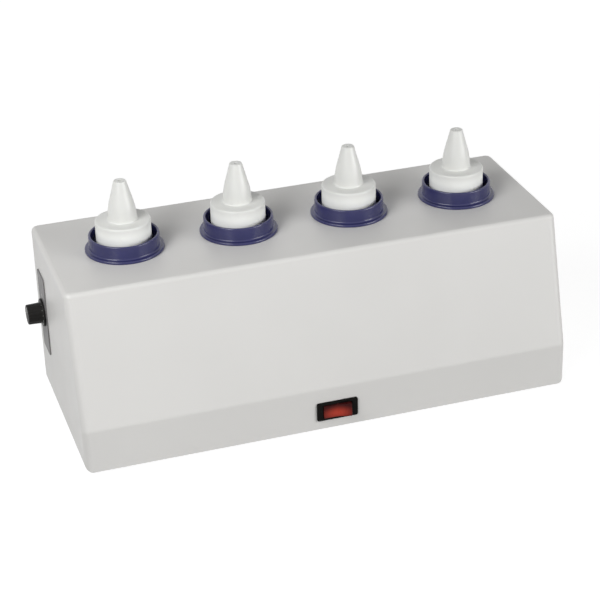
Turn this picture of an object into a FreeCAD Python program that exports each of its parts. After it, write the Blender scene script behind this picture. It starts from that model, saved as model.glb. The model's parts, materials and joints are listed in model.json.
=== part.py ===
import FreeCAD, Part
import math
import os

# Gel warmer: a table-top box that keeps four bottles of ultrasound gel warm.
# A moulded cover with a sloping front stands over a sheet-metal pan on rubber feet.
# Each bottle stands in an aluminium well hung under a round collar in the flat top.
# The thermostat's knob is on the left end, the lit rocker switch on the front band,
# and the power inlet in the back.
# Millimetres, +Z up, front towards -Y, knob towards -X, table plane at z = 0.
# The pieces are modelled about the middle of the cover's footprint, and then all
# are moved along X so that the origin is the middle of the whole outline.

Vector = FreeCAD.Vector
X_AXIS = Vector(1, 0, 0)
Y_AXIS = Vector(0, 1, 0)
Z_AXIS = Vector(0, 0, 1)

# Cover
body_length = 406.0
base_depth = 165.0
top_depth = 137.0
body_height = 142.0
band_height = 36.0
cover_wall = 3.0
cover_lift = 3.0
top_edge_radius = 4.0
end_edge_radius = 6.0
kink_radius = 9.0
least_inner_radius = 0.8

# Pan, its flange, and the lugs that the cover is screwed down by
pan_lift = 4.0
sheet = 1.2
pan_gap = 0.4
pan_flange = 6.0
pan_corner = 5.0
lug_radius = 4.5
lug_height = 14.0
lug_web = 7.0
lug_from_wall = 9.0
lug_from_end = 53.0
vent_width = 4.0
vent_length = 28.0
vent_pitch = 12.0
vent_count = 18
vent_from_front = 30.5

# Screws and feet
screw_radius = 1.5
screw_gap = 0.1
screw_head_radius = 3.0
screw_head = 1.8
screw_length = 12.0
screw_past_nut = 1.0
foot_top_radius = 9.0
foot_bottom_radius = 7.5
foot_recess = 2.2
foot_recess_radius = 4.0
foot_edge_radius = 0.8
foot_from_end = 33.0
foot_from_edge = 15.5
nut_flats = 5.5
nut_height = 2.4

# Bottles and their caps
bottle_count = 4
end_to_bottle = 61.7
row_shift = 1.2
row_forward = 2.5
bottle_radius = 25.5
bottle_wall = 1.1
bottle_base_radius = 3.5
bottle_shoulder_above_base = 121.0
shoulder_rise = 6.5
shoulder_radius = 5.0
neck_radius = 19.6
neck_wall = 1.4
cap_thread_gap = 0.4
cap_wall = 2.1
cap_above_shoulder = 1.0
cap_seat_gap = 0.3
cap_top = 2.0
cap_top_above_panel = 25.5
cap_edge_radius = 1.6
nozzle_base_radius = 11.5
nozzle_shoulder_radius = 11.2
nozzle_shoulder = 10.0
nozzle_shoulder_rounding = 50.0
nozzle_tip_radius = 5.0
nozzle_tip_rounding = 0.8
nozzle_height = 32.7
nozzle_wall = 1.8
nozzle_fillet = 1.2
orifice_radius = 1.3
orifice_length = 4.0

# Collars, wells, heaters and the rail under the wells
collar_gap = 0.7
collar_neck_wall = 2.0
collar_height = 13.4
collar_rim = 2.7
collar_flange = 2.3
collar_seat = 1.0
collar_flange_edge = 1.0
collar_root_radius = 0.8
collar_rim_edge = 0.95
spigot_wall = 1.1
spigot_below_nut = 2.0
spigot_gap = 0.3
ring_nut_rim = 4.5
ring_nut_height = 4.0
ring_nut_notches = 6
notch_width = 5.0
notch_depth = 2.0
thread_gap = 0.1
well_gap = 1.1
well_wall = 1.0
well_base_radius = 3.0
rail_top = 18.0
rail_margin = 1.4
rail_flange = 12.0
rail_from_end = 28.0
rail_hole_radius = 10.0
rail_outer_bend = 1.8
rail_inner_bend = 0.4
rail_screw_from_end = 20.0
heater_gap = 0.1
heater_wall = 1.8
heater_bottom = 40.0
heater_height = 70.0

# Thermostat, its dial plate and knob
dial_from_back = 33.3
dial_below_top = 63.9
dial_plate_width = 26.0
dial_plate_height = 69.0
dial_plate_thickness = 1.0
dial_plate_corner = 3.0
bushing_radius = 4.0
bushing_gap = 0.2
bushing_above_plate = 3.4
bushing_nut_flats = 11.0
bushing_nut_height = 2.2
thermostat_length = 20.0
thermostat_width = 30.0
thermostat_height = 42.0
thermostat_corner = 2.0
shaft_radius = 3.0
shaft_gap = 0.08
shaft_flat = 1.2
key_gap = 0.03
key_root = 0.5
shaft_inside = 10.0
shaft_end_gap = 0.5
knob_stand_out = 14.6
knob_gap = 0.5
knob_skirt_radius = 11.6
knob_skirt = 1.6
knob_grip_radius = 8.6
knob_end_radius = 8.2
knob_edge_radius = 1.0
knob_root_radius = 0.5
knob_skirt_edge = 0.8
knob_recess_radius = 6.9
knob_recess = 4.2
knob_front_wall = 3.5
flute_count = 16
flute_radius = 1.5
flute_depth = 0.5
pointer_width = 1.4
pointer_depth = 0.6

# Temperature sensor on the first well
bulb_radius = 3.0
bulb_length = 50.0
bulb_gap = 0.3
bulb_end_radius = 1.2
capillary_radius = 0.8
capillary_bend = 6.0
capillary_over_thermostat = 15.0
capillary_rise = 14.0
strap_wall = 0.6
strap_height = 8.0
strap_gap = 0.1

# Rocker switch on the front band
switch_x = 3.2
switch_above_edge = 16.0
bezel_width = 34.4
bezel_height = 16.1
bezel_thickness = 1.8
bezel_corner = 1.5
bezel_edge = 0.8
switch_body_width = 29.0
switch_body_height = 13.0
switch_body_depth = 20.0
cutout_gap = 0.2
rocker_length = 23.0
rocker_width = 10.8
rocker_gap = 0.3
rocker_end_gap = 0.9
rocker_rise = 2.6
rocker_middle = 0.9
rocker_corner = 0.6
rocker_valley_radius = 3.0
rocker_draft = 0.4
rocker_skirt = 1.6
rocker_hub = 2.6
rocker_hub_depth = 5.4
rocker_hub_corner = 1.0
rocker_tilt = 9.0
pivot_depth = 1.0
pivot_radius = 1.2
pivot_gap = 0.05
pivot_end_wall = 0.3
pivot_end_gap = 0.2
rocker_bay_depth = 10.0
rocker_bay_corner = 0.4
terminal_width = 4.8
terminal_thickness = 0.8
terminal_length = 9.0
terminal_pitch = 9.0

# Power inlet in the back
inlet_from_end = 63.0
inlet_above_edge = 36.0
inlet_flange_width = 50.0
inlet_flange_height = 22.5
inlet_flange = 2.5
inlet_corner = 3.0
inlet_body_corner = 1.0
inlet_body_width = 27.2
inlet_body_height = 19.6
inlet_cavity_width = 24.0
inlet_cavity_height = 16.4
inlet_chamfer = 4.0
inlet_low_corner = 0.6
inlet_high_corner = 1.0
inlet_cavity_depth = 14.0
inlet_floor = 3.0
inlet_pin_width = 2.0
inlet_pin_height = 4.0
inlet_pin_corner = 0.4
inlet_pin_pitch = 7.0
inlet_earth_offset = 3.5
inlet_pin_recess = 2.0
inlet_tab = 8.0
inlet_screw_pitch = 40.0

# Levels and faces worked out from the sizes above
top_z = cover_lift + body_height
kink_z = cover_lift + band_height
front_y = -base_depth / 2
back_y = base_depth / 2
left_x = -body_length / 2
front_edge_y = back_y - top_depth
slope_angle = math.atan2(front_edge_y - front_y, body_height - band_height)
well_line_y = back_y - top_depth / 2 - row_forward
vent_y = front_y + vent_from_front
foot_x = body_length / 2 - foot_from_end
foot_y = base_depth / 2 - foot_from_edge
bottle_pitch = (body_length - 2 * end_to_bottle) / (bottle_count - 1)
pan_top = pan_lift + sheet
screw_bore = screw_radius + screw_gap
panel_under = top_z - cover_wall
well_bottom = rail_top
bottle_bottom = well_bottom + well_wall
shoulder_z = bottle_bottom + bottle_shoulder_above_base
neck_start = shoulder_z + shoulder_rise
cap_bottom = neck_start + cap_above_shoulder
cap_plane = top_z + cap_top_above_panel
cap_bore = neck_radius + cap_thread_gap
cap_radius = cap_bore + cap_wall
neck_top = cap_plane - cap_top - cap_seat_gap
collar_bore = bottle_radius + collar_gap
collar_neck_radius = collar_bore + collar_neck_wall
well_radius = bottle_radius + well_gap
well_outer = well_radius + well_wall
spigot_bore = well_outer + spigot_gap
spigot_radius = spigot_bore + spigot_wall
collar_hole = spigot_radius + spigot_gap
collar_flange_radius = spigot_radius + collar_rim
ring_nut_radius = spigot_radius + ring_nut_rim
rail_width = 2 * (well_outer + rail_margin)
rail_length = body_length - 2 * rail_from_end
heater_radius = well_outer + heater_gap
heater_outer = heater_radius + heater_wall
switch_z = cover_lift + switch_above_edge
bezel_y = front_y - bezel_thickness
pivot_y = bezel_y + pivot_depth
inlet_x = left_x + inlet_from_end
inlet_z = cover_lift + inlet_above_edge
inlet_y = back_y + inlet_flange
dial_y = back_y - dial_from_back
dial_z = top_z - dial_below_top
plate_x = left_x - dial_plate_thickness
thermostat_top = dial_z + thermostat_height / 2
capillary_level = thermostat_top + capillary_over_thermostat
bulb_top = capillary_level - capillary_rise
bulb_bottom = bulb_top - bulb_length
well_xs = [row_shift + (i - (bottle_count - 1) / 2) * bottle_pitch for i in range(bottle_count)]
bulb_x = well_xs[0] - heater_outer - bulb_gap - bulb_radius
centre_shift = Vector(knob_stand_out / 2, 0, 0)


def block(x0, x1, y0, y1, z0, z1):
    """Box between two corners."""
    return Part.makeBox(x1 - x0, y1 - y0, z1 - z0, Vector(x0, y0, z0))


def rod(radius, start, end):
    """Cylinder from one point to another."""
    path = end - start
    return Part.makeCylinder(radius, path.Length, start, path)


def upright_hole(place, radius, low, high):
    """Drill through a level piece between two heights."""
    return rod(radius, place + Z_AXIS * (low - 1), place + Z_AXIS * (high + 1))


def rounded_wire(corners, place):
    """Closed wire through (u, v, radius) corners; place turns (u, v) into a point."""
    starts, middles, ends = [], [], []
    for i, (u, v, radius) in enumerate(corners):
        here = Vector(u, v, 0)
        before = Vector(*corners[i - 1][:2], 0) - here
        after = Vector(*corners[(i + 1) % len(corners)][:2], 0) - here
        before.normalize()
        after.normalize()
        half = before.getAngle(after) / 2
        reach = radius / math.tan(half)
        inward = before + after
        if radius:
            inward.normalize()
        centre = here + inward * (radius / math.sin(half))
        starts.append(here + before * reach)
        middles.append(centre - inward * radius)
        ends.append(here + after * reach)
    edges = []
    for i, corner in enumerate(corners):
        if corner[2]:
            arc = [place(p.x, p.y) for p in (starts[i], middles[i], ends[i])]
            edges.append(Part.Arc(*arc).toShape())
        leave = place(ends[i].x, ends[i].y)
        reach_next = starts[(i + 1) % len(corners)]
        arrive = place(reach_next.x, reach_next.y)
        if (arrive - leave).Length > 1e-6:
            edges.append(Part.LineSegment(leave, arrive).toShape())
    return Part.Wire(edges)


def turned(corners, x, y):
    """Solid of revolution about an upright axis from (radius, z, rounding) corners."""
    wire = rounded_wire(corners, lambda r, z: Vector(x + r, y, z))
    return Part.Face(wire).revolve(Vector(x, y, 0), Z_AXIS, 360)


def along_x(corners, x0, x1):
    """Outline of (y, z, rounding) corners carried from x0 to x1."""
    wire = rounded_wire(corners, lambda y, z: Vector(x0, y, z))
    return Part.Face(wire).extrude(X_AXIS * (x1 - x0))


def along_y(corners, y0, y1):
    """Outline of (x, z, rounding) corners carried from y0 to y1."""
    wire = rounded_wire(corners, lambda x, z: Vector(x, y0, z))
    return Part.Face(wire).extrude(Y_AXIS * (y1 - y0))


def along_z(corners, z0, z1):
    """Outline of (x, y, rounding) corners carried from z0 to z1."""
    wire = rounded_wire(corners, lambda x, y: Vector(x, y, z0))
    return Part.Face(wire).extrude(Z_AXIS * (z1 - z0))


def rounded_rectangle(u, v, width, height, radius):
    """Corners of a rounded rectangle about a middle point."""
    low_u, high_u = u - width / 2, u + width / 2
    low_v, high_v = v - height / 2, v + height / 2
    places = [(low_u, low_v), (high_u, low_v), (high_u, high_v), (low_u, high_v)]
    return [(u, v, radius) for u, v in places]


def hexagon(flats, height, start, axis):
    """Hexagonal prism by its width across flats, from start along axis."""
    circle = Part.makeCircle(flats / math.sqrt(3), start, axis)
    points = [circle.valueAt(math.radians(60 * i)) for i in range(7)]
    return Part.Face(Part.makePolygon(points)).extrude(axis * height)


def tube(points, radius, bend):
    """Round bar along straight runs joined by tangent arcs."""
    edges = []
    leave = points[0]
    for before, here, after in zip(points, points[1:], points[2:]):
        back = (before - here).normalize()
        ahead = (after - here).normalize()
        half = back.getAngle(ahead) / 2
        reach = bend / math.tan(half)
        inward = (back + ahead).normalize()
        middle = here + inward * (bend / math.sin(half) - bend)
        edges.append(Part.LineSegment(leave, here + back * reach).toShape())
        edges.append(Part.Arc(here + back * reach, middle, here + ahead * reach).toShape())
        leave = here + ahead * reach
    edges.append(Part.LineSegment(leave, points[-1]).toShape())
    path = Part.Wire(edges)
    section = Part.Wire(Part.makeCircle(radius, points[0], points[1] - points[0]))
    return path.makePipeShell([section], True, False)


def slope_y(z, inset):
    """Y of the sloping front at a level, moved inwards by a wall thickness."""
    return front_y + (z - kink_z) * math.tan(slope_angle) + inset / math.cos(slope_angle)


def cover_form(inset, low_z):
    """Outer form of the cover, or with an inset the hollow inside it."""
    high_z = top_z - inset
    band_y = front_y + inset
    bend_z = kink_z - (slope_y(kink_z, inset) - band_y) / math.tan(slope_angle)
    wall_y = back_y - inset
    end_x = body_length / 2 - inset
    corners = [
        (band_y, low_z, 0),
        (band_y, bend_z, 0),
        (slope_y(high_z, inset), high_z, 0),
        (wall_y, high_z, 0),
        (wall_y, low_z, 0),
    ]
    form = along_x(corners, -end_x, end_x)
    top_radius = max(top_edge_radius - inset, least_inner_radius)
    end_radius = max(end_edge_radius - inset, least_inner_radius)
    bend_radius = max(kink_radius - inset, least_inner_radius)
    top_edges, end_edges, bend_edges = [], [], []
    for edge in form.Edges:
        box = edge.BoundBox
        if box.ZMax < low_z + 0.01:
            continue
        if box.ZMin > high_z - 0.01:
            top_edges.append(edge)
        elif box.XLength < 0.01:
            end_edges.append(edge)
        elif box.ZLength < 0.01 and abs(box.ZMin - bend_z) < 0.01:
            bend_edges.append(edge)
    form = form.makeFillet(bend_radius, bend_edges)
    sides = [e for e in form.Edges if e.BoundBox.XLength < 0.01 and e.BoundBox.ZMax < high_z + 0.01
             and e.BoundBox.ZMin < high_z - 0.5]
    form = form.makeFillet(end_radius, sides)
    crown = [e for e in form.Edges if e.BoundBox.ZMin > high_z - 0.01]
    return form.makeFillet(top_radius, crown)


def lug_places():
    """Boss centre and the direction to the nearest wall, for each of the six lugs."""
    inner_y = back_y - cover_wall - lug_from_wall
    inner_x = body_length / 2 - cover_wall - lug_from_wall
    lug_x = body_length / 2 - lug_from_end
    places = []
    for side in (-1, 1):
        places.append((Vector(side * inner_x, 0, 0), Vector(side, 0, 0)))
        for x in (-lug_x, lug_x):
            places.append((Vector(x, side * inner_y, 0), Vector(0, side, 0)))
    return places


def lug(centre, outward):
    """Screw boss with a web that joins it to the wall above the pan's flange."""
    base = centre + Z_AXIS * pan_top
    boss = rod(lug_radius, base, base + Z_AXIS * lug_height)
    across = Vector(abs(outward.y), abs(outward.x), 0) * (lug_web / 2)
    reach = centre + outward * (lug_from_wall + cover_wall / 2)
    low = pan_lift + pan_flange + pan_gap
    high = pan_top + lug_height
    xs = sorted([p.x + s * across.x for p in (centre, reach) for s in (-1, 1)])
    ys = sorted([p.y + s * across.y for p in (centre, reach) for s in (-1, 1)])
    web = block(xs[0], xs[-1], ys[0], ys[-1], low, high)
    pilot = rod(screw_bore, base - Z_AXIS, base + Z_AXIS * (screw_length + 1))
    return boss.fuse(web).cut(pilot)


def inlet_screw_xs():
    return [inlet_x - inlet_screw_pitch / 2, inlet_x + inlet_screw_pitch / 2]


def cover():
    """Moulded cover, open below, with its lugs and every hole in its walls."""
    shell = cover_form(0, cover_lift).cut(cover_form(cover_wall, cover_lift - 1))
    shell = shell.fuse([lug(centre, outward) for centre, outward in lug_places()]).removeSplitter()
    cuts = []
    for x in well_xs:
        cuts.append(upright_hole(Vector(x, well_line_y, 0), collar_hole, panel_under, top_z))
    width = switch_body_width + 2 * cutout_gap
    height = switch_body_height + 2 * cutout_gap
    outline = rounded_rectangle(switch_x, switch_z, width, height, 0)
    cuts.append(along_y(outline, front_y - 1, front_y + cover_wall + 1))
    shaft = Vector(left_x - 1, dial_y, dial_z)
    cuts.append(rod(bushing_radius + bushing_gap, shaft, shaft + X_AXIS * (cover_wall + 2)))
    width = inlet_body_width + 2 * cutout_gap
    height = inlet_body_height + 2 * cutout_gap
    outline = rounded_rectangle(inlet_x, inlet_z, width, height, 0)
    cuts.append(along_y(outline, back_y - cover_wall - 1, back_y + 1))
    for x in inlet_screw_xs():
        start = Vector(x, back_y - cover_wall - 1, inlet_z)
        cuts.append(rod(screw_bore, start, start + Y_AXIS * (cover_wall + 2)))
    return shell.cut(cuts)


def foot_places():
    return [Vector(sx * foot_x, sy * foot_y, 0) for sx in (-1, 1) for sy in (-1, 1)]


def rail_screw_places():
    xs = [side * (rail_length / 2 - rail_screw_from_end) for side in (-1, 1)]
    offset = rail_width / 2 + rail_flange / 2
    return [Vector(x, well_line_y + side * offset, 0) for x in xs for side in (-1, 1)]


def pan():
    """Shallow sheet-metal pan with an upturned flange, screw holes and vent slots."""
    width = body_length - 2 * (cover_wall + pan_gap)
    depth = base_depth - 2 * (cover_wall + pan_gap)
    tray = along_z(rounded_rectangle(0, 0, width, depth, pan_corner), pan_lift, pan_lift + pan_flange)
    inside = rounded_rectangle(0, 0, width - 2 * sheet, depth - 2 * sheet, pan_corner - sheet)
    tray = tray.cut(along_z(inside, pan_top, pan_lift + pan_flange + 1))
    holes = [centre for centre, outward in lug_places()] + foot_places() + rail_screw_places()
    cuts = [upright_hole(place, screw_bore, pan_lift, pan_top) for place in holes]
    for i in range(vent_count):
        x = (i - (vent_count - 1) / 2) * vent_pitch
        slot = rounded_rectangle(x, vent_y, vent_width, vent_length, vent_width / 2)
        cuts.append(along_z(slot, pan_lift - 1, pan_top + 1))
    return tray.cut(cuts)


def screw(seat, into, length):
    """Screw whose bevelled head lies on the seat and whose shank runs into the piece."""
    head = rod(screw_head_radius, seat - into * screw_head, seat)
    rims = [edge for edge in head.Edges if edge.Closed]
    outer_rim = max(rims, key=lambda edge: (edge.Curve.Center - seat).Length)
    head = head.makeChamfer(screw_head / 2, [outer_rim])
    return head.fuse(rod(screw_radius, seat - into * (screw_head / 4), seat + into * length))


def nut(start, axis, flats=nut_flats, height=nut_height, bore=screw_bore):
    """Hexagon nut with a plain bore."""
    return hexagon(flats, height, start, axis).cut(rod(bore, start - axis, start + axis * (height + 1)))


def pan_screws():
    places = [centre + Z_AXIS * pan_lift for centre, outward in lug_places()]
    return [screw(place, Z_AXIS, screw_length) for place in places]


def foot(place):
    """Rubber foot with a recess for its screw."""
    profile = [
        (screw_bore, foot_recess, 0),
        (foot_recess_radius, foot_recess, 0),
        (foot_recess_radius, 0, 0),
        (foot_bottom_radius, 0, foot_edge_radius),
        (foot_top_radius, pan_lift, 0),
        (screw_bore, pan_lift, 0),
    ]
    return turned(profile, place.x, place.y)


def foot_screws():
    length = pan_top - foot_recess + nut_height + screw_past_nut
    return [screw(place + Z_AXIS * foot_recess, Z_AXIS, length) for place in foot_places()]


def foot_nuts():
    return [nut(place + Z_AXIS * pan_top, Z_AXIS) for place in foot_places()]


def rail():
    """Hat-shaped rail that carries the wells, with a hole under each."""
    half = rail_width / 2
    y = well_line_y
    corners = [
        (y - half - rail_flange, pan_top, 0),
        (y - half + sheet, pan_top, rail_outer_bend),
        (y - half + sheet, rail_top - sheet, rail_inner_bend),
        (y + half - sheet, rail_top - sheet, rail_inner_bend),
        (y + half - sheet, pan_top, rail_outer_bend),
        (y + half + rail_flange, pan_top, 0),
        (y + half + rail_flange, pan_top + sheet, 0),
        (y + half, pan_top + sheet, rail_inner_bend),
        (y + half, rail_top, rail_outer_bend),
        (y - half, rail_top, rail_outer_bend),
        (y - half, pan_top + sheet, rail_inner_bend),
        (y - half - rail_flange, pan_top + sheet, 0),
    ]
    channel = along_x(corners, -rail_length / 2, rail_length / 2)
    cuts = [upright_hole(Vector(x, y, 0), rail_hole_radius, rail_top - sheet, rail_top) for x in well_xs]
    for place in rail_screw_places():
        cuts.append(upright_hole(place, screw_bore, pan_top, pan_top + sheet))
    return channel.cut(cuts)


def rail_screws():
    length = 2 * sheet + nut_height + screw_past_nut
    return [screw(place + Z_AXIS * pan_lift, Z_AXIS, length) for place in rail_screw_places()]


def rail_nuts():
    return [nut(place + Z_AXIS * (pan_top + sheet), Z_AXIS) for place in rail_screw_places()]


def collar(x):
    """Round collar: flange on the panel, neck above it and a threaded spigot below."""
    spigot_end = panel_under - ring_nut_height - spigot_below_nut
    shoulder = top_z - collar_seat
    rim = top_z + collar_height
    profile = [
        (spigot_bore, spigot_end, 0),
        (spigot_radius, spigot_end, 0),
        (spigot_radius, top_z, 0),
        (collar_flange_radius, top_z, 0),
        (collar_flange_radius, top_z + collar_flange, collar_flange_edge),
        (collar_neck_radius, top_z + collar_flange, collar_root_radius),
        (collar_neck_radius, rim, collar_rim_edge),
        (collar_bore, rim, collar_rim_edge),
        (collar_bore, shoulder, 0),
        (spigot_bore, shoulder, 0),
    ]
    return turned(profile, x, well_line_y)


def ring_nut(x):
    """Ring nut that holds the collar up against the panel, with spanner notches."""
    low = panel_under - ring_nut_height
    bore = spigot_radius + thread_gap
    profile = [
        (bore, low, 0),
        (ring_nut_radius, low, 0),
        (ring_nut_radius, panel_under, 0),
        (bore, panel_under, 0),
    ]
    ring = turned(profile, x, well_line_y)
    notches = []
    for i in range(ring_nut_notches):
        deep = ring_nut_radius - notch_depth
        high = low + ring_nut_height / 2
        notch = block(deep, ring_nut_radius + 1, -notch_width / 2, notch_width / 2, low - 1, high)
        notch.rotate(Vector(0, 0, 0), Z_AXIS, 360 * i / ring_nut_notches)
        notch.translate(Vector(x, well_line_y, 0))
        notches.append(notch)
    return ring.cut(notches)


def well(x):
    """Drawn aluminium cup that a bottle stands in, up to the collar's shoulder."""
    rim = top_z - collar_seat
    profile = [
        (0, well_bottom, 0),
        (well_outer, well_bottom, well_base_radius),
        (well_outer, rim, 0),
        (well_radius, rim, 0),
        (well_radius, bottle_bottom, well_base_radius - well_wall),
        (0, bottle_bottom, 0),
    ]
    return turned(profile, x, well_line_y)


def heater(x):
    """Heating band wrapped round the well."""
    start = Vector(x, well_line_y, heater_bottom)
    end = start + Z_AXIS * heater_height
    return rod(heater_outer, start, end).cut(rod(heater_radius, start, end))


def bottle(x):
    """Blown bottle with a round shoulder and an open neck."""
    inner = bottle_radius - bottle_wall
    mouth = neck_radius - neck_wall
    low = bottle_bottom + bottle_wall
    profile = [
        (0, bottle_bottom, 0),
        (bottle_radius, bottle_bottom, bottle_base_radius),
        (bottle_radius, shoulder_z, shoulder_radius),
        (neck_radius, neck_start, 0),
        (neck_radius, neck_top, 0),
        (mouth, neck_top, 0),
        (mouth, neck_start - bottle_wall, 0),
        (inner, shoulder_z - bottle_wall / 2, shoulder_radius - bottle_wall),
        (inner, low, bottle_base_radius - bottle_wall),
        (0, low, 0),
    ]
    return turned(profile, x, well_line_y)


def cap(x):
    """Screw cap with a tall dispensing nozzle, hollow to the orifice at its tip."""
    under = cap_plane - cap_top
    shoulder = cap_plane + nozzle_shoulder
    tip = cap_plane + nozzle_height
    profile = [
        (cap_bore, cap_bottom, 0),
        (cap_radius, cap_bottom, 0),
        (cap_radius, cap_plane, cap_edge_radius),
        (nozzle_base_radius, cap_plane, nozzle_fillet),
        (nozzle_shoulder_radius, shoulder, nozzle_shoulder_rounding),
        (nozzle_tip_radius, tip, nozzle_tip_rounding),
        (orifice_radius, tip, 0),
        (orifice_radius, tip - orifice_length, 0),
        (nozzle_tip_radius - nozzle_wall, tip - orifice_length, 0),
        (nozzle_shoulder_radius - nozzle_wall, shoulder, 0),
        (nozzle_base_radius - nozzle_wall, under, 0),
        (cap_bore, under, 0),
    ]
    return turned(profile, x, well_line_y)


def dial_plate():
    """Thin rounded plate behind the knob."""
    outline = rounded_rectangle(dial_y, dial_z, dial_plate_width, dial_plate_height, dial_plate_corner)
    plate = along_x(outline, plate_x, left_x)
    hole = Vector(plate_x - 1, dial_y, dial_z)
    return plate.cut(rod(bushing_radius + bushing_gap, hole, hole + X_AXIS * (dial_plate_thickness + 2)))


def thermostat():
    """Thermostat body behind the left wall, with the bushing that fixes it."""
    inner_x = left_x + cover_wall
    outline = rounded_rectangle(dial_y, dial_z, thermostat_width, thermostat_height, thermostat_corner)
    body = along_x(outline, inner_x, inner_x + thermostat_length)
    end_x = plate_x - bushing_above_plate
    middle = Vector(inner_x + 1, dial_y, dial_z)
    body = body.fuse(rod(bushing_radius, Vector(end_x, dial_y, dial_z), middle))
    bore_end = Vector(inner_x + shaft_inside, dial_y, dial_z)
    return body.cut(rod(shaft_radius + shaft_gap, Vector(end_x - 1, dial_y, dial_z), bore_end))


def thermostat_nut():
    start = Vector(plate_x, dial_y, dial_z)
    return nut(start, -X_AXIS, bushing_nut_flats, bushing_nut_height, bushing_radius + thread_gap)


def shaft_tip_x():
    return left_x - knob_stand_out + knob_front_wall


def thermostat_shaft():
    """Shaft from inside the thermostat to the knob, with a flat for the knob's bore."""
    start = Vector(shaft_tip_x(), dial_y, dial_z)
    end = Vector(left_x + cover_wall + shaft_inside - shaft_end_gap, dial_y, dial_z)
    bar = rod(shaft_radius, start, end)
    flat_end = plate_x - bushing_above_plate - shaft_end_gap
    reach = shaft_radius + 1
    flat_z = dial_z - shaft_radius + shaft_flat
    waste = block(start.x - 1, flat_end, dial_y - reach, dial_y + reach, dial_z - reach, flat_z)
    return bar.cut(waste)


def knob():
    """Fluted knob with a skirt, a recess over the nut and a pointer groove."""
    base = dial_plate_thickness + knob_gap
    end = knob_stand_out
    recess = base + knob_recess
    skirt = base + knob_skirt
    blind = end - knob_front_wall
    bore = shaft_radius + key_gap
    profile = [
        (0, end, 0),
        (knob_end_radius, end, knob_edge_radius),
        (knob_grip_radius, skirt, knob_root_radius),
        (knob_skirt_radius, skirt, knob_skirt_edge),
        (knob_skirt_radius, base, 0),
        (knob_recess_radius, base, 0),
        (knob_recess_radius, recess, 0),
        (bore, recess, 0),
        (bore, blind, 0),
        (0, blind, 0),
    ]
    body = turned(profile, 0, 0)
    flutes = []
    for i in range(flute_count):
        angle = 2 * math.pi * (i + 0.5) / flute_count
        reach = knob_grip_radius + flute_radius - flute_depth
        foot_point = Vector(reach * math.cos(angle), reach * math.sin(angle), skirt + 1)
        flutes.append(rod(flute_radius, foot_point, foot_point + Z_AXIS * end))
    half = pointer_width / 2
    pointer = block(0, knob_grip_radius + 1, -half, half, end - pointer_depth, end + 1)
    body = body.cut(flutes + [pointer])
    key_low = -shaft_radius - 1
    key_high = -shaft_radius + shaft_flat - key_gap
    key = block(key_low, key_high, -bore, bore, recess, blind)
    key = key.common(rod(bore + key_root, Z_AXIS * recess, Z_AXIS * blind))
    body = body.fuse(key).removeSplitter()
    # Local +Z becomes the knob's way out, -X, and local +X, where the pointer is, becomes +Z.
    body.rotate(Vector(0, 0, 0), Y_AXIS, -90)
    body.translate(Vector(left_x, dial_y, dial_z))
    return body


def sensor():
    """Temperature bulb beside the first well and the capillary to the thermostat."""
    start = Vector(bulb_x, well_line_y, bulb_bottom)
    bulb = rod(bulb_radius, start, start + Z_AXIS * bulb_length)
    bulb = bulb.makeFillet(bulb_end_radius, [e for e in bulb.Edges if isinstance(e.Curve, Part.Circle)])
    drop_x = left_x + cover_wall + thermostat_length / 2
    path = [
        Vector(bulb_x, well_line_y, bulb_top - 1),
        Vector(bulb_x, well_line_y, capillary_level),
        Vector(drop_x, dial_y, capillary_level),
        Vector(drop_x, dial_y, thermostat_top),
    ]
    return bulb.fuse(tube(path, capillary_radius, capillary_bend))


def sensor_strap():
    """Band that holds the bulb against the first well's heater."""
    low = bulb_bottom + (bulb_length - strap_height) / 2
    bulb_fit = bulb_radius + bulb_gap + strap_gap
    outer, inner = [], []
    for x, fit in ((well_xs[0], heater_outer + strap_gap), (bulb_x, bulb_fit)):
        start = Vector(x, well_line_y, low)
        outer.append(rod(fit + strap_wall, start, start + Z_AXIS * strap_height))
        inner.append(upright_hole(Vector(x, well_line_y, 0), fit, low, low + strap_height))
    return outer[0].fuse(outer[1]).removeSplitter().cut(inner)


def switch_body():
    """Black switch housing with its bezel and the bay that the rocker swings in."""
    outline = rounded_rectangle(switch_x, switch_z, bezel_width, bezel_height, bezel_corner)
    frame = along_y(outline, bezel_y, front_y)
    lip = [e for e in frame.Edges if e.BoundBox.YMax < bezel_y + 0.01]
    frame = frame.makeFillet(bezel_edge, lip)
    back = front_y + switch_body_depth
    outline = rounded_rectangle(switch_x, switch_z, switch_body_width, switch_body_height, 0)
    housing = along_y(outline, front_y, back)
    bay_length = rocker_length + 2 * rocker_end_gap
    bay_width = rocker_width + 2 * rocker_gap
    bay = rounded_rectangle(switch_x, switch_z, bay_length, bay_width, rocker_bay_corner)
    low = Vector(switch_x, pivot_y, switch_z - switch_body_height / 2 + pivot_end_wall)
    high = Vector(switch_x, pivot_y, switch_z + switch_body_height / 2 - pivot_end_wall)
    pocket = rod(pivot_radius + pivot_gap, low, high)
    return frame.fuse(housing).cut([along_y(bay, bezel_y - 1, bezel_y + rocker_bay_depth), pocket])


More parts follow.
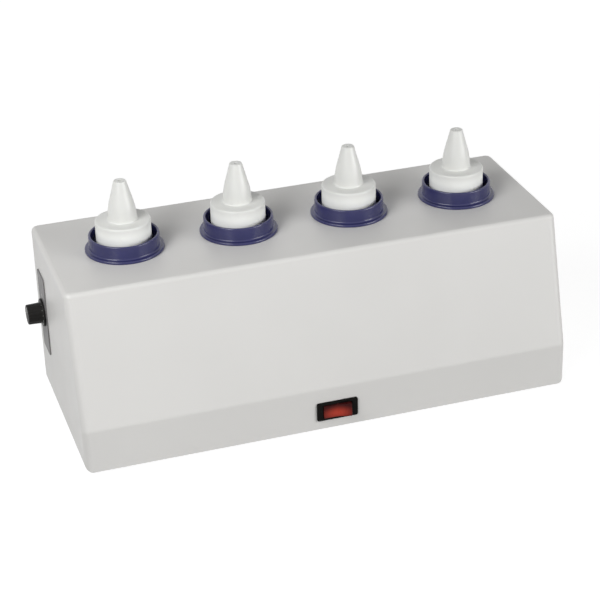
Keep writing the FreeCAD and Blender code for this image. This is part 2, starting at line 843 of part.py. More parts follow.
def rocker():
    """Red rocker: a shallow V in front, a hub behind and a pivot pin at each side."""
    half = rocker_length / 2
    corners = [
        (-half, -rocker_rise, rocker_corner),
        (0, -rocker_middle, rocker_valley_radius),
        (half, -rocker_rise, rocker_corner),
        (half - rocker_draft, rocker_skirt, rocker_corner),
        (rocker_hub, rocker_hub_depth, rocker_hub_corner),
        (-rocker_hub, rocker_hub_depth, rocker_hub_corner),
        (-half + rocker_draft, rocker_skirt, rocker_corner),
    ]
    body = along_z(corners, -rocker_width / 2, rocker_width / 2)
    pin = switch_body_height / 2 - pivot_end_wall - pivot_end_gap
    body = body.fuse(rod(pivot_radius, Vector(0, pivot_depth, -pin), Vector(0, pivot_depth, pin)))
    # The left end is pressed in: the rocker leans by its tilt about the pivot.
    body.rotate(Vector(0, pivot_depth, 0), Z_AXIS, -rocker_tilt)
    body.translate(Vector(switch_x, bezel_y, switch_z))
    return body


def switch_terminals():
    """Three flat tabs on the back of the switch."""
    back = front_y + switch_body_depth
    tabs = []
    for i in (-1, 0, 1):
        x = switch_x + i * terminal_pitch
        outline = rounded_rectangle(x, switch_z, terminal_thickness, terminal_width, 0)
        tabs.append(along_y(outline, back, back + terminal_length))
    return tabs


def inlet_cavity_outline():
    """Socket outline with its two lower corners cut off."""
    low_x, high_x = inlet_x - inlet_cavity_width / 2, inlet_x + inlet_cavity_width / 2
    low_z, high_z = inlet_z - inlet_cavity_height / 2, inlet_z + inlet_cavity_height / 2
    return [
        (low_x, low_z + inlet_chamfer, inlet_low_corner),
        (low_x + inlet_chamfer, low_z, inlet_low_corner),
        (high_x - inlet_chamfer, low_z, inlet_low_corner),
        (high_x, low_z + inlet_chamfer, inlet_low_corner),
        (high_x, high_z, inlet_high_corner),
        (low_x, high_z, inlet_high_corner),
    ]


def inlet_pin_places():
    """Middle of each pin: live and neutral beside, earth lower."""
    line_z = inlet_z + inlet_earth_offset / 2
    earth_z = inlet_z - inlet_earth_offset / 2
    return [(inlet_x - inlet_pin_pitch, line_z), (inlet_x, earth_z), (inlet_x + inlet_pin_pitch, line_z)]


def inlet():
    """Power inlet: flange on the back, deep socket and slots for its pins."""
    outline = rounded_rectangle(inlet_x, inlet_z, inlet_flange_width, inlet_flange_height, inlet_corner)
    flange = along_y(outline, back_y, inlet_y)
    floor_y = inlet_y - inlet_cavity_depth
    outline = rounded_rectangle(inlet_x, inlet_z, inlet_body_width, inlet_body_height, inlet_body_corner)
    body = along_y(outline, floor_y - inlet_floor, back_y)
    cuts = [along_y(inlet_cavity_outline(), floor_y, inlet_y + 1)]
    for x, z in inlet_pin_places():
        slot = rounded_rectangle(x, z, inlet_pin_width + thread_gap, inlet_pin_height + thread_gap, 0)
        cuts.append(along_y(slot, floor_y - inlet_floor - 1, floor_y + 1))
    for x in inlet_screw_xs():
        start = Vector(x, back_y - 1, inlet_z)
        cuts.append(rod(screw_bore, start, start + Y_AXIS * (inlet_flange + 2)))
    return flange.fuse(body).cut(cuts)


def inlet_pins():
    floor_y = inlet_y - inlet_cavity_depth
    start = floor_y - inlet_floor - inlet_tab
    end = inlet_y - inlet_pin_recess
    pins = []
    for x, z in inlet_pin_places():
        outline = rounded_rectangle(x, z, inlet_pin_width, inlet_pin_height, inlet_pin_corner)
        pins.append(along_y(outline, start, end))
    return pins


def inlet_screws():
    length = inlet_flange + cover_wall + nut_height + screw_past_nut
    return [screw(Vector(x, inlet_y, inlet_z), -Y_AXIS, length) for x in inlet_screw_xs()]


def inlet_nuts():
    return [nut(Vector(x, back_y - cover_wall, inlet_z), -Y_AXIS) for x in inlet_screw_xs()]


def save(name, shape):
    """Write one sub-part, a solid or a list of solids, in the part's own frame."""
    if isinstance(shape, list):
        shape = Part.Compound(shape)
    moved = shape.copy()
    moved.translate(centre_shift)
    moved.exportStep(f"parts/{name}.step")
    print(f"{name:18s} solids {len(moved.Solids)} volume {moved.Volume:10.1f} valid {moved.isValid()}")


os.makedirs("parts", exist_ok=True)
save("cover", cover())
save("pan", pan())
save("pan_screws", pan_screws())
save("foot_screws", foot_screws())
save("foot_nuts", foot_nuts())
save("rail", rail())
save("rail_screws", rail_screws())
save("rail_nuts", rail_nuts())
for number, place in enumerate(foot_places(), 1):
    save(f"foot_{number}", foot(place))
for number, x in enumerate(well_xs, 1):
    save(f"collar_{number}", collar(x))
    save(f"ring_nut_{number}", ring_nut(x))
    save(f"well_{number}", well(x))
    save(f"heater_{number}", heater(x))
    save(f"bottle_{number}", bottle(x))
    save(f"cap_{number}", cap(x))
save("dial_plate", dial_plate())
save("thermostat", thermostat())
save("thermostat_nut", thermostat_nut())
save("thermostat_shaft", thermostat_shaft())
save("knob", knob())
save("sensor", sensor())
save("sensor_strap", sensor_strap())
save("switch_body", switch_body())
save("rocker", rocker())
save("switch_terminals", switch_terminals())
save("inlet", inlet())
save("inlet_pins", inlet_pins())
save("inlet_screws", inlet_screws())
save("inlet_nuts", inlet_nuts())
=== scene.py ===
import json
import math

import bmesh
import bpy
from mathutils import Matrix, Vector


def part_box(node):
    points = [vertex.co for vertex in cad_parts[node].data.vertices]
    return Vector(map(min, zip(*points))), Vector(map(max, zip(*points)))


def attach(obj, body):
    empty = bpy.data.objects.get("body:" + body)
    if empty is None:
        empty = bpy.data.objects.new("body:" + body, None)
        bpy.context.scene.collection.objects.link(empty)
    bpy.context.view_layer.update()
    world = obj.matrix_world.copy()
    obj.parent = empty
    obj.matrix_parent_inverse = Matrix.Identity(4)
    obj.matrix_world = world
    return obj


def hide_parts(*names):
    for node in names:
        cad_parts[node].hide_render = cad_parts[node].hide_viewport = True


# A gel warmer on a pale table: the finish of every surface, and round pieces with
# smooth outlines in place of the plain solids of the frame.

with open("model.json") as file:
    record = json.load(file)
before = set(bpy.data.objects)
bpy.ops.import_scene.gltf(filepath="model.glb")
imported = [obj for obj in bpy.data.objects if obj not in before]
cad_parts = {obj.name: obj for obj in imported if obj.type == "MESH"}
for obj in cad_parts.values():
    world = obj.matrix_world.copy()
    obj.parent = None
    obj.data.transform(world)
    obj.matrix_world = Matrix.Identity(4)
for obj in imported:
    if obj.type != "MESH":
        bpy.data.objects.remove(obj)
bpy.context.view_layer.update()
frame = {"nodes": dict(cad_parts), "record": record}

# Sizes are in millimetres unless a comment says otherwise; MM turns them into metres
MM = 0.001
UP = Vector((0, 0, 1))

# Camera
view_azimuth = math.radians(-17.132)
view_elevation = math.radians(27.089)
view_roll = math.radians(-1.832)
view_distance = 1547.7 * MM
view_aim = Vector((8.45, 2.6, 76.56)) * MM
view_lens = 112.464

# Mesh fineness
ring_steps = 128
corner_steps = 6
smooth_angle = math.radians(32)
merge_reach = 0.0001
weld_reach = 0.001

# Collar sizes that its box doesn't give
collar_flange = 2.3
collar_neck_radius = 28.2
collar_bore = 26.2
collar_height = 13.4
spigot_radius = 29.0
spigot_bore = 27.9
collar_seat = 1.0
spigot_rounding = 0.3
flange_edge = 0.5
flange_rounding = 1.0
collar_fillet = 1.2
collar_rim_rounding = 0.95

# Cap sizes that its box doesn't give
cap_bore = 20.0
cap_top = 2.0
nozzle_height = 32.7
nozzle_base_radius = 11.5
nozzle_fillet = 1.2
nozzle_shoulder_radius = 11.2
nozzle_shoulder = 10.0
nozzle_shoulder_rounding = 50.0
nozzle_tip_radius = 5.0
nozzle_tip_rounding = 0.8
nozzle_wall = 1.8
orifice_radius = 1.3
orifice_length = 4.0
orifice_rounding = 0.3
cap_edge = 0.4
cap_rounding = 1.6
cap_inner_rounding = 0.6

# Bottle sizes that its box doesn't give
bottle_wall = 1.1
bottle_shoulder_above_base = 121.0
shoulder_rise = 6.5
neck_radius = 19.6
neck_wall = 1.4
foot_rounding = 3.5
shoulder_rounding = 5.0
neck_fillet = 0.8
lip_rounding = 0.5
lip_inner_rounding = 0.3

# Knob: heights are from its back; the dish is the shallow hollow in its end, inside the rim
knob_skirt = 1.6
knob_grip_radius = 8.6
knob_end_radius = 8.2
knob_recess_radius = 6.9
knob_recess = 4.2
knob_dish = 0.1
knob_dish_inset = 1.6
knob_rim = 1.2
knob_dish_fillet = 0.4
knob_rim_rounding = 0.2
knob_end_rounding = 0.8
knob_skirt_fillet = 0.5
knob_skirt_rounding = 0.8
knob_skirt_edge = 0.2
flute_count = 16
flute_depth = 0.5
flute_start = 0.6
flute_reach = 1.5

# Marks on the knob and its plate; a mark's size is (thickness, width, length)
knob_sweep = math.radians(270)
skirt_marks = 11
skirt_mark = (0.08, 0.35, 1.5)
index_mark = (0.1, 0.8, 4.0)
index_gap = 3.2
pointer_thickness = 0.12
pointer_width = 0.9
pointer_margin = 3.2

# Rocker and the cross recess of the screws
rocker_bevel = 0.35
recess_length = 3.2
recess_width = 0.75
recess_depth = 1.0
recess_turn = 1.1  # radians from one screw to the next

# Noise in the finishes
drift_detail = 3.0
grain_detail = 2.0
noise_range = (0.3, 0.7)

# Floor, in metres, and how brightly the camera sees it near the object and far away
floor_half = 3.0
floor_near = 0.6
floor_far = 2.0
floor_near_level = 0.86
floor_far_level = 1.0


def rounded(corners):
    """Points of a closed outline through (u, v, radius) corners, with arcs at the corners."""
    points = []
    for i, (u, v, radius) in enumerate(corners):
        here = Vector((u, v))
        if not radius:
            points.append(here)
            continue
        before = (Vector(corners[i - 1][:2]) - here).normalized()
        after = (Vector(corners[(i + 1) % len(corners)][:2]) - here).normalized()
        half = before.angle(after) / 2
        centre = here + (before + after).normalized() * (radius / math.sin(half))
        first = here + before * (radius / math.tan(half)) - centre
        last = here + after * (radius / math.tan(half)) - centre
        sweep = first.angle_signed(last)
        for step in range(corner_steps + 1):
            points.append(centre + Matrix.Rotation(-sweep * step / corner_steps, 2) @ first)
    return points


def smooth(mesh):
    """Smooth shading, except at sharp edges."""
    for face in mesh.polygons:
        face.use_smooth = True
    mesh.set_sharp_from_angle(angle=smooth_angle)


def mesh_object(name, mesh_builder):
    """New object with the mesh that a function builds."""
    built = bmesh.new()
    mesh_builder(built)
    bmesh.ops.remove_doubles(built, verts=built.verts, dist=merge_reach * MM)
    bmesh.ops.recalc_face_normals(built, faces=built.faces)
    mesh = bpy.data.meshes.new(name)
    built.to_mesh(mesh)
    built.free()
    smooth(mesh)
    made = bpy.data.objects.new(name, mesh)
    bpy.context.scene.collection.objects.link(made)
    return made


def turned(name, corners, centre, axis=UP, radius_at=None):
    """Closed outline of (radius, height, rounding) corners turned about an axis.

    radius_at(radius, height, angle) may change the radius from place to place.
    """
    outline = rounded(corners)
    turn = UP.rotation_difference(axis).to_matrix()

    def build(built):
        rings = []
        for point in outline:
            ring = []
            for step in range(ring_steps):
                angle = 2 * math.pi * step / ring_steps
                radius = radius_at(point.x, point.y, angle) if radius_at else point.x
                local = Vector((radius * math.cos(angle), radius * math.sin(angle), point.y))
                ring.append(built.verts.new(centre + turn @ (local * MM)))
            rings.append(ring)
        for i, ring in enumerate(rings):
            below = rings[i - 1]
            for step in range(ring_steps):
                after = (step + 1) % ring_steps
                built.faces.new((below[step], below[after], ring[after], ring[step]))

    return mesh_object(name, build)


def node_centre(node):
    """Middle of a node's box, in metres, at its lowest level."""
    low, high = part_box(node)
    return Vector(((low.x + high.x) / 2, (low.y + high.y) / 2, low.z))


def bar(built, centre, size, turn=Matrix()):
    """Adds a box of a size in millimetres, turned about its own middle."""
    stretch = Matrix.Diagonal((*(Vector(size) * MM), 1))
    place = Matrix.Translation(centre) @ turn.to_4x4() @ stretch
    bmesh.ops.create_cube(built, size=1, matrix=place)


def apply_modifiers(piece):
    """Works a piece's modifiers into its mesh."""
    bpy.context.view_layer.update()
    shaped = piece.evaluated_get(bpy.context.evaluated_depsgraph_get())
    piece.data = bpy.data.meshes.new_from_object(shaped)
    piece.modifiers.clear()


def copy_of(node, name):
    """New piece with the shape of a node."""
    made = bpy.data.objects.new(name, frame["nodes"][node].data.copy())
    made.data.materials.clear()
    bpy.context.scene.collection.objects.link(made)
    return made


def bevelled(node, name, width):
    """New piece with the shape of a node and its edges rounded."""
    piece = copy_of(node, name)
    weld = piece.modifiers.new("weld", "WELD")
    weld.merge_threshold = weld_reach * MM
    bevel = piece.modifiers.new("bevel", "BEVEL")
    bevel.width = width * MM
    bevel.segments = 3
    bevel.limit_method = "ANGLE"
    bevel.angle_limit = smooth_angle
    bevel.harden_normals = True
    apply_modifiers(piece)
    for face in piece.data.polygons:
        face.use_smooth = True
    return piece


def islands(mesh):
    """Corner places of each loose part of a mesh."""
    built = bmesh.new()
    built.from_mesh(mesh)
    bmesh.ops.remove_doubles(built, verts=built.verts, dist=weld_reach * MM)
    seen, groups = set(), []
    for start in built.verts:
        if start in seen:
            continue
        seen.add(start)
        front, group = [start], []
        while front:
            vertex = front.pop()
            group.append(vertex.co.copy())
            for edge in vertex.link_edges:
                other = edge.other_vert(vertex)
                if other not in seen:
                    seen.add(other)
                    front.append(other)
        groups.append(group)
    built.free()
    return groups


# Materials

class Finish:
    """A node material with its shader and short ways to add procedural detail."""

    def __init__(self, name, colour, roughness, metallic=0.0):
        self.material = bpy.data.materials.new(name)
        self.material.use_nodes = True
        self.nodes = self.material.node_tree.nodes
        self.links = self.material.node_tree.links
        self.shader = self.nodes["Principled BSDF"]
        self.place = self.nodes.new("ShaderNodeTexCoord")
        self.colour = colour
        self.shader.inputs["Base Color"].default_value = (*colour, 1)
        self.shader.inputs["Roughness"].default_value = roughness
        self.shader.inputs["Metallic"].default_value = metallic

    def set(self, name, value):
        """One value of the shader, the same all over."""
        self.shader.inputs[name].default_value = value
        return self

    def noise(self, scale, detail, stretch=(1, 1, 1)):
        """Noise over the object's own coordinates, in blobs per metre."""
        mapping = self.nodes.new("ShaderNodeMapping")
        mapping.inputs["Scale"].default_value = stretch
        texture = self.nodes.new("ShaderNodeTexNoise")
        texture.inputs["Scale"].default_value = scale
        texture.inputs["Detail"].default_value = detail
        self.links.new(self.place.outputs["Object"], mapping.inputs["Vector"])
        self.links.new(mapping.outputs["Vector"], texture.inputs["Vector"])
        return texture.outputs["Fac"]

    def spread(self, value, low, high):
        """The middle part of a noise stretched between two numbers."""
        ranged = self.nodes.new("ShaderNodeMapRange")
        ranged.inputs["From Min"].default_value = noise_range[0]
        ranged.inputs["From Max"].default_value = noise_range[1]
        ranged.inputs["To Min"].default_value = low
        ranged.inputs["To Max"].default_value = high
        self.links.new(value, ranged.inputs["Value"])
        return ranged.outputs["Result"]

    def mottle(self, scale, second):
        """Base colour that drifts between the main colour and a second one."""
        mix = self.nodes.new("ShaderNodeMix")
        mix.data_type = "RGBA"
        mix.inputs["A"].default_value = (*self.colour, 1)
        mix.inputs["B"].default_value = (*second, 1)
        amount = self.spread(self.noise(scale, drift_detail), 0, 1)
        self.links.new(amount, mix.inputs["Factor"])
        self.links.new(mix.outputs["Result"], self.shader.inputs["Base Color"])
        return self

    def rise(self, start, end, second):
        """Base colour that turns into a second one between two heights in millimetres."""
        split = self.nodes.new("ShaderNodeSeparateXYZ")
        ranged = self.nodes.new("ShaderNodeMapRange")
        ranged.interpolation_type = "SMOOTHSTEP"
        ranged.inputs["From Min"].default_value = start * MM
        ranged.inputs["From Max"].default_value = end * MM
        mix = self.nodes.new("ShaderNodeMix")
        mix.data_type = "RGBA"
        mix.inputs["B"].default_value = (*second, 1)
        self.links.new(self.place.outputs["Object"], split.inputs["Vector"])
        self.links.new(split.outputs["Z"], ranged.inputs["Value"])
        self.links.new(ranged.outputs["Result"], mix.inputs["Factor"])
        self.links.new(self.shader.inputs["Base Color"].links[0].from_socket, mix.inputs["A"])
        self.links.new(mix.outputs["Result"], self.shader.inputs["Base Color"])
        return self

    def uneven(self, scale, low, high):
        """Roughness that drifts between two values."""
        amount = self.spread(self.noise(scale, drift_detail), low, high)
        self.links.new(amount, self.shader.inputs["Roughness"])
        return self

    def glow(self, lamp, reach, inner, outer):
        """Painted glow: the surface emits the inner colour at the point given as lamp and the outer
        one beyond its reach.
        """
        scale = [1 / (along * MM) for along in reach]
        mapping = self.nodes.new("ShaderNodeMapping")
        mapping.inputs["Scale"].default_value = scale
        mapping.inputs["Location"].default_value = [-at * by for at, by in zip(lamp, scale)]
        away = self.nodes.new("ShaderNodeVectorMath")
        away.operation = "LENGTH"
        fade = self.nodes.new("ShaderNodeMapRange")
        fade.interpolation_type = "SMOOTHSTEP"
        mix = self.nodes.new("ShaderNodeMix")
        mix.data_type = "RGBA"
        mix.inputs["A"].default_value = (*inner, 1)
        mix.inputs["B"].default_value = (*outer, 1)
        self.links.new(self.place.outputs["Object"], mapping.inputs["Vector"])
        self.links.new(mapping.outputs["Vector"], away.inputs[0])
        self.links.new(away.outputs["Value"], fade.inputs["Value"])
        self.links.new(fade.outputs["Result"], mix.inputs["Factor"])
        self.links.new(mix.outputs["Result"], self.shader.inputs["Emission Color"])
        self.shader.inputs["Emission Strength"].default_value = 1.0
        return self

    def grain(self, scale, height, stretch=(1, 1, 1)):
        """Bump from a fine noise, with its height in millimetres."""
        bump = self.nodes.new("ShaderNodeBump")
        bump.inputs["Distance"].default_value = height * MM
        bump.inputs["Strength"].default_value = 1.0
        self.links.new(self.noise(scale, grain_detail, stretch), bump.inputs["Height"])
        self.links.new(bump.outputs["Normal"], self.shader.inputs["Normal"])
        return self


def cover_finish():
    finish = Finish("cover_paint", (0.70, 0.693, 0.675), 0.42)
    finish.mottle(9, (0.675, 0.668, 0.65)).uneven(30, 0.38, 0.48)
    return finish.grain(1400, 0.035).material


def navy_finish():
    finish = Finish("navy_plastic", (0.026, 0.027, 0.108), 0.2)
    finish.mottle(60, (0.023, 0.024, 0.094)).uneven(90, 0.17, 0.24)
    return finish.grain(700, 0.0012).material


def cap_finish():
    """Milky plastic, with painted shade that greys the top of the skirt, the top plane and the
    nozzle.
    """
    finish = Finish("cap_plastic", (0.92, 0.93, 0.90), 0.38)
    finish.set("Subsurface Weight", 0.15).set("Subsurface Radius", (0.004, 0.004, 0.0035))
    finish.mottle(40, (0.90, 0.91, 0.88)).uneven(80, 0.34, 0.44)
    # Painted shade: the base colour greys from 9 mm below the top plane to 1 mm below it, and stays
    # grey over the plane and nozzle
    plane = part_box("cap_1")[1].z / MM - nozzle_height
    shade_start, shade_full = plane - 9, plane - 1
    finish.rise(shade_start, shade_full, (0.74, 0.745, 0.72))
    return finish.grain(1500, 0.012).material


def bottle_finish():
    finish = Finish("bottle_plastic", (0.78, 0.78, 0.75), 0.35)
    finish.set("Subsurface Weight", 0.2).set("Subsurface Radius", (0.005, 0.005, 0.005))
    finish.mottle(30, (0.74, 0.74, 0.70))
    return finish.grain(600, 0.02).material


def black_finish():
    finish = Finish("black_plastic", (0.009, 0.0085, 0.008), 0.45)
    finish.set("Specular IOR Level", 0.12).mottle(120, (0.012, 0.011, 0.010))
    finish.uneven(150, 0.38, 0.52)
    return finish.grain(2200, 0.01).material


def switch_finish():
    """Deeper black than the other mouldings, for the switch's frame."""
    finish = Finish("switch_plastic", (0.004, 0.0038, 0.0035), 0.4)
    finish.set("Specular IOR Level", 0.05).mottle(150, (0.006, 0.0055, 0.005))
    finish.uneven(180, 0.34, 0.46)
    return finish.grain(2400, 0.006).material


def dial_finish():
    finish = Finish("dial_paint", (0.17, 0.165, 0.165), 0.5)
    finish.mottle(70, (0.15, 0.147, 0.147)).uneven(120, 0.44, 0.56)
    return finish.grain(2500, 0.008).material


def zinc_finish():
    finish = Finish("zinc_sheet", (0.52, 0.53, 0.53), 0.36, metallic=1.0)
    finish.mottle(45, (0.60, 0.61, 0.62)).uneven(60, 0.28, 0.46)
    return finish.grain(300, 0.006, stretch=(0.15, 1, 1)).material


def rubber_finish():
    finish = Finish("foot_rubber", (0.02, 0.02, 0.02), 0.75)
    finish.mottle(200, (0.03, 0.03, 0.029))
    return finish.grain(2600, 0.02).material


def red_finish():
    """Red rocker with a painted glow, a bright spot on its lower half that stands in for a
    highlight.
    """
    finish = Finish("rocker_red", (0.03, 0.002, 0.002), 0.28)
    finish.set("Specular IOR Level", 0.1).mottle(140, (0.02, 0.0015, 0.0015))
    finish.uneven(200, 0.22, 0.36)
    low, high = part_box("rocker")
    # Painted highlight: the point called lamp is where the emitted spot is brightest, and a faint
    # emitted red covers the rest
    lamp = Vector((low.x + 0.46 * (high.x - low.x), low.y, low.z + 0.33 * (high.z - low.z)))
    finish.glow(lamp, (17, 14, 8), (0.38, 0.040, 0.022), (0.012, 0.002, 0.002))
    return finish.grain(1800, 0.006).material


def marking_finish():
    finish = Finish("white_marking", (0.75, 0.75, 0.73), 0.5)
    finish.mottle(300, (0.66, 0.66, 0.64)).uneven(400, 0.45, 0.6)
    return finish.grain(3000, 0.003).material


def brass_finish():
    finish = Finish("brass_pins", (0.70, 0.52, 0.25), 0.3, metallic=1.0)
    finish.mottle(250, (0.62, 0.45, 0.22)).uneven(300, 0.24, 0.4)
    return finish.grain(1500, 0.004).material


def aluminium_finish():
    finish = Finish("drawn_aluminium", (0.76, 0.77, 0.78), 0.32, metallic=1.0)
    finish.mottle(60, (0.70, 0.71, 0.72)).uneven(80, 0.26, 0.4)
    return finish.grain(500, 0.006, stretch=(1, 1, 0.1)).material


def silicone_finish():
    finish = Finish("heater_silicone", (0.42, 0.09, 0.035), 0.6)
    finish.mottle(90, (0.36, 0.075, 0.03))
    return finish.grain(900, 0.03).material


finishes = {
    "cover_plastic": cover_finish(),
    "navy_plastic": navy_finish(),
    "cap_plastic": cap_finish(),
    "bottle_plastic": bottle_finish(),
    "black_plastic": black_finish(),
    "dial_metal": dial_finish(),
    "zinc_steel": zinc_finish(),
    "thermostat_metal": zinc_finish(),
    "black_rubber": rubber_finish(),
    "red_plastic": red_finish(),
    "brass": brass_finish(),
    "copper": brass_finish(),
    "well_aluminium": aluminium_finish(),
    "heater_silicone": silicone_finish(),
}


def dress_nodes():
    """Every node takes the finish of its slot, but the switch's frame has its own black."""
    for part in frame["record"]["subparts"]:
        node = frame["nodes"][part["node"]]
        node.data.materials.clear()
        node.data.materials.append(finishes[part["material_slot"]])
        smooth(node.data)
    frame["nodes"]["switch_body"].data.materials[0] = switch_finish()


def finish_piece(piece, slot, body, *nodes, material=None):
    """Give a piece its finish and its body, and hide the nodes that it stands for."""
    piece.data.materials.append(material or finishes[slot])
    if nodes:
        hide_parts(*nodes)
    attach(piece, body)


def collar(number):
    """Flanged ring in the top, with its spigot below and an open bore."""
    node = f"collar_{number}"
    low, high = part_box(node)
    flange_radius = (high.x - low.x) / 2 / MM
    rim = (high.z - low.z) / MM
    seat = rim - collar_height
    corners = [
        (spigot_bore, 0, 0),
        (spigot_radius, 0, spigot_rounding),
        (spigot_radius, seat, 0),
        (flange_radius, seat, flange_edge),
        (flange_radius, seat + collar_flange, flange_rounding),
        (collar_neck_radius, seat + collar_flange, collar_fillet),
        (collar_neck_radius, rim, collar_rim_rounding),
        (collar_bore, rim, collar_rim_rounding),
        (collar_bore, seat - collar_seat, 0),
        (spigot_bore, seat - collar_seat, 0),
    ]
    piece = turned(f"collar_ring_{number}", corners, node_centre(node))
    finish_piece(piece, "navy_plastic", "warmer", node)


def cap(number):
    """Hollow cap with a nozzle of two curves and an orifice through its tip."""
    node = f"cap_{number}"
    low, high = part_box(node)
    radius = (high.x - low.x) / 2 / MM
    tip = (high.z - low.z) / MM
    plane = tip - nozzle_height
    shoulder = plane + nozzle_shoulder
    corners = [
        (cap_bore, 0, 0),
        (radius, 0, cap_edge),
        (radius, plane, cap_rounding),
        (nozzle_base_radius, plane, nozzle_fillet),
        (nozzle_shoulder_radius, shoulder, nozzle_shoulder_rounding),
        (nozzle_tip_radius, tip, nozzle_tip_rounding),
        (orifice_radius, tip, orifice_rounding),
        (orifice_radius, tip - orifice_length, 0),
        (nozzle_tip_radius - nozzle_wall, tip - orifice_length, 0),
        (nozzle_shoulder_radius - nozzle_wall, shoulder, 0),
        (nozzle_base_radius - nozzle_wall, plane - cap_top, 0),
        (cap_bore, plane - cap_top, cap_inner_rounding),
    ]
    piece = turned(f"nozzle_cap_{number}", corners, node_centre(node))
    finish_piece(piece, "cap_plastic", f"bottle_cap_{number}", node)


def bottle(number):
    """Open bottle with a round shoulder and a neck."""
    node = f"bottle_{number}"
    low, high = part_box(node)
    radius = (high.x - low.x) / 2 / MM
    top = (high.z - low.z) / MM
    shoulder = bottle_shoulder_above_base
    neck = shoulder + shoulder_rise
    mouth = neck_radius - neck_wall
    inner = radius - bottle_wall
    corners = [
        (0, 0, 0),
        (radius, 0, foot_rounding),
        (radius, shoulder, shoulder_rounding),
        (neck_radius, neck, neck_fillet),
        (neck_radius, top, lip_rounding),
        (mouth, top, lip_inner_rounding),
        (mouth, neck - bottle_wall, neck_fillet),
        (inner, shoulder - bottle_wall / 2, shoulder_rounding - bottle_wall),
        (inner, bottle_wall, foot_rounding - bottle_wall),
        (0, bottle_wall, 0),
    ]
    piece = turned(f"gel_bottle_{number}", corners, node_centre(node))
    finish_piece(piece, "bottle_plastic", "warmer", node)


def knob():
    """Fluted knob; gives the middle of its back, the radius of its skirt and its end's x."""
    low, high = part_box("knob")
    skirt_radius = (high.z - low.z) / 2 / MM
    length = (high.x - low.x) / MM
    centre = Vector((high.x, (low.y + high.y) / 2, (low.z + high.z) / 2))

    def fluted(radius, height, angle):
        above_skirt = height > knob_skirt + flute_start
        if not (above_skirt and radius > knob_end_radius - flute_reach):
            return radius
        wave = abs(math.cos(angle * flute_count / 2))
        return radius - flute_depth * (1 - wave) ** 2

    corners = [
        (0, length - knob_dish, 0),
        (knob_end_radius - knob_dish_inset, length - knob_dish, knob_dish_fillet),
        (knob_end_radius - knob_rim, length, knob_rim_rounding),
        (knob_end_radius, length, knob_end_rounding),
        (knob_grip_radius, knob_skirt, knob_skirt_fillet),
        (skirt_radius, knob_skirt, knob_skirt_rounding),
        (skirt_radius, 0, knob_skirt_edge),
        (knob_recess_radius, 0, 0),
        (knob_recess_radius, knob_recess, 0),
        (0, knob_recess, 0),
    ]
    piece = turned("dial_knob", corners, centre, -Vector((1, 0, 0)), fluted)
    finish_piece(piece, "black_plastic", "thermostat_dial", "knob")
    return centre, skirt_radius, low.x


def knob_marks(centre, skirt_radius, end_x):
    """Printed pointer on the knob's end, scale on its skirt and index line on the plate."""
    marking = marking_finish()
    scale_radius = (knob_grip_radius + skirt_radius) / 2

    def pointer(built):
        place = Vector((end_x + knob_dish * MM, centre.y, centre.z + knob_end_radius * MM / 2))
        bar(built, place, (pointer_thickness, pointer_width, knob_end_radius - pointer_margin))

    def scale(built):
        for i in range(skirt_marks):
            angle = knob_sweep * (i / (skirt_marks - 1) - 0.5)
            turn = Matrix.Rotation(angle, 3, "X")
            place = centre + turn @ Vector((0, 0, scale_radius * MM))
            place.x -= knob_skirt * MM
            bar(built, place, skirt_mark, turn)

    def index(built):
        plate_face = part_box("dial_plate")[0].x
        place = Vector((plate_face, centre.y, centre.z + (skirt_radius + index_gap) * MM))
        bar(built, place, index_mark)

    marks = (
        ("knob_pointer", pointer, "thermostat_dial"),
        ("knob_scale", scale, "thermostat_dial"),
        ("dial_index", index, "warmer"),
    )
    for name, build, body in marks:
        finish_piece(mesh_object(name, build), "cover_plastic", body, material=marking)


def recessed_screws(node, into):
    """Screws of a node with a cross recess sunk in each head, in the direction that they go in."""
    piece = copy_of(node, f"cross_{node}")

    def crosses(built):
        for number, group in enumerate(islands(piece.data)):
            middle = sum(group, Vector()) / len(group)
            outermost = min(group, key=lambda place: place.dot(into))
            head = middle + into * (outermost.dot(into) - middle.dot(into))
            twist = Matrix.Rotation(number * recess_turn, 3, "Z")
            turn = into.to_track_quat("Z", "Y").to_matrix() @ twist
            bar(built, head, (recess_length, recess_width, 2 * recess_depth), turn)
            bar(built, head, (recess_width, recess_length, 2 * recess_depth), turn)

    cutter = mesh_object("cutter", crosses)
    cut = piece.modifiers.new("cut", "BOOLEAN")
    cut.operation = "DIFFERENCE"
    cut.solver = "EXACT"
    cut.use_self = True
    cut.object = cutter
    apply_modifiers(piece)
    bpy.data.objects.remove(cutter)
    smooth(piece.data)
    finish_piece(piece, "zinc_steel", "warmer", node)


def seen_rays(nodes, links):
    """Socket that is 1 for what the camera sees, also in a reflection or through glass."""
    path = nodes.new("ShaderNodeLightPath")
    seen = path.outputs["Is Camera Ray"]
    for kind in ("Is Glossy Ray", "Is Transmission Ray"):
        either = nodes.new("ShaderNodeMath")
        either.operation = "MAXIMUM"
        links.new(seen, either.inputs[0])
        links.new(path.outputs[kind], either.inputs[1])
        seen = either.outputs["Value"]
    return seen


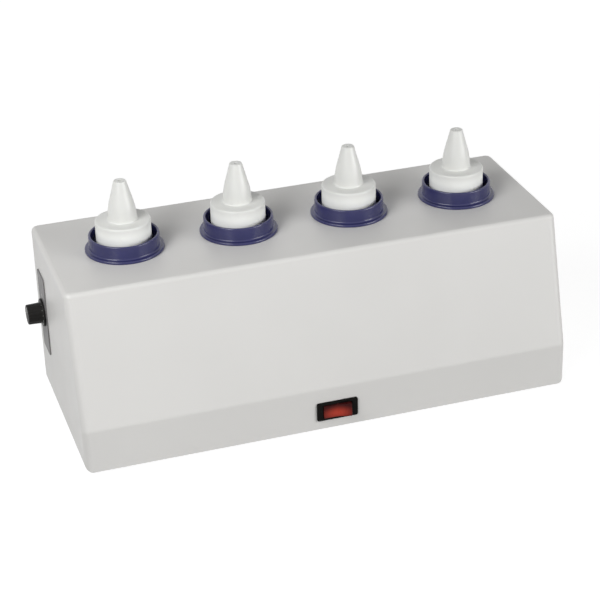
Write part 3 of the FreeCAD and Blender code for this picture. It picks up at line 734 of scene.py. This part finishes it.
def white_floor():
    """Pale table top that the camera sees as white, with the object's shadow on it."""

    def build(built):
        signs = ((-1, -1), (1, -1), (1, 1), (-1, 1))
        built.faces.new([built.verts.new((x * floor_half, y * floor_half, 0)) for x, y in signs])

    floor = mesh_object("floor", build)
    material = bpy.data.materials.new("floor_white")
    material.use_nodes = True
    nodes = material.node_tree.nodes
    links = material.node_tree.links
    shader = nodes["Principled BSDF"]
    shader.inputs["Base Color"].default_value = (0.3, 0.3, 0.3, 1)
    shader.inputs["Roughness"].default_value = 0.9
    shader.inputs["Specular IOR Level"].default_value = 0.1
    place = nodes.new("ShaderNodeTexCoord")
    away = nodes.new("ShaderNodeVectorMath")
    away.operation = "LENGTH"
    level = nodes.new("ShaderNodeMapRange")
    level.inputs["From Min"].default_value = floor_near
    level.inputs["From Max"].default_value = floor_far
    level.inputs["To Min"].default_value = floor_near_level
    level.inputs["To Max"].default_value = floor_far_level
    glow = nodes.new("ShaderNodeEmission")
    links.new(place.outputs["Object"], away.inputs[0])
    links.new(away.outputs["Value"], level.inputs["Value"])
    links.new(level.outputs["Result"], glow.inputs["Strength"])
    add = nodes.new("ShaderNodeAddShader")
    choose = nodes.new("ShaderNodeMixShader")
    links.new(shader.outputs["BSDF"], add.inputs[0])
    links.new(glow.outputs["Emission"], add.inputs[1])
    links.new(seen_rays(nodes, links), choose.inputs["Fac"])
    links.new(shader.outputs["BSDF"], choose.inputs[1])
    links.new(add.outputs["Shader"], choose.inputs[2])
    links.new(choose.outputs["Shader"], nodes["Material Output"].inputs["Surface"])
    floor.data.materials.append(material)


def world_light(strength):
    """Even room light, and plain white where the camera looks past the floor."""
    world = bpy.data.worlds.new("room")
    world.use_nodes = True
    bpy.context.scene.world = world
    nodes = world.node_tree.nodes
    links = world.node_tree.links
    room = nodes["Background"]
    room.inputs["Color"].default_value = (1, 1, 1, 1)
    room.inputs["Strength"].default_value = strength
    white = nodes.new("ShaderNodeBackground")
    white.inputs["Color"].default_value = (1, 1, 1, 1)
    white.inputs["Strength"].default_value = 1.0
    choose = nodes.new("ShaderNodeMixShader")
    links.new(seen_rays(nodes, links), choose.inputs["Fac"])
    links.new(room.outputs["Background"], choose.inputs[1])
    links.new(white.outputs["Background"], choose.inputs[2])
    links.new(choose.outputs["Shader"], nodes["World Output"].inputs["Surface"])


def soft_lamp(name, place, size, watts, mirrored=True):
    """Square area lamp that faces the camera's aim; mirrored says if it shows in reflections."""
    lamp = bpy.data.lights.new(name, "AREA")
    lamp.shape = "SQUARE"
    lamp.size = size
    lamp.energy = watts
    holder = bpy.data.objects.new(name, lamp)
    holder.location = place
    holder.rotation_mode = "QUATERNION"
    holder.rotation_quaternion = (view_aim - Vector(place)).to_track_quat("-Z", "Y")
    holder.visible_glossy = mirrored
    bpy.context.scene.collection.objects.link(holder)


def camera():
    """Camera at the photograph's viewing angle."""
    data = bpy.data.cameras.new("camera")
    data.lens = view_lens
    holder = bpy.data.objects.new("camera", data)
    flat = math.cos(view_elevation)
    back = Vector((
        math.sin(view_azimuth) * flat,
        -math.cos(view_azimuth) * flat,
        math.sin(view_elevation),
    ))
    holder.location = view_aim + back * view_distance
    holder.rotation_mode = "QUATERNION"
    level = (-back).to_track_quat("-Z", "Y")
    holder.rotation_quaternion = level @ Matrix.Rotation(view_roll, 3, "Z").to_quaternion()
    bpy.context.scene.collection.objects.link(holder)
    bpy.context.scene.camera = holder


dress_nodes()
for number in range(1, 5):
    collar(number)
    bottle(number)
    cap(number)
knob_marks(*knob())
rocker_key = bevelled("rocker", "rocker_key", rocker_bevel)
finish_piece(rocker_key, "red_plastic", "switch_rocker", "rocker")
for node in ("pan_screws", "foot_screws", "rail_screws"):
    recessed_screws(node, UP)
recessed_screws("inlet_screws", Vector((0, -1, 0)))
white_floor()

# Lamp places and sizes are in metres, powers in watts
world_light(0.12)
soft_lamp("left_front", (-1.91, -1.92, 1.34), 0.9, 26)
soft_lamp("left_near", (-0.75, -0.35, 0.85), 0.5, 5.6)
soft_lamp("right_front", (2.1, -1.9, 0.6), 1.6, 56)
soft_lamp("behind", (0.4, 2.8, 0.5), 1.0, 20, mirrored=False)
camera()
bpy.context.scene.view_settings.view_transform = "Standard"
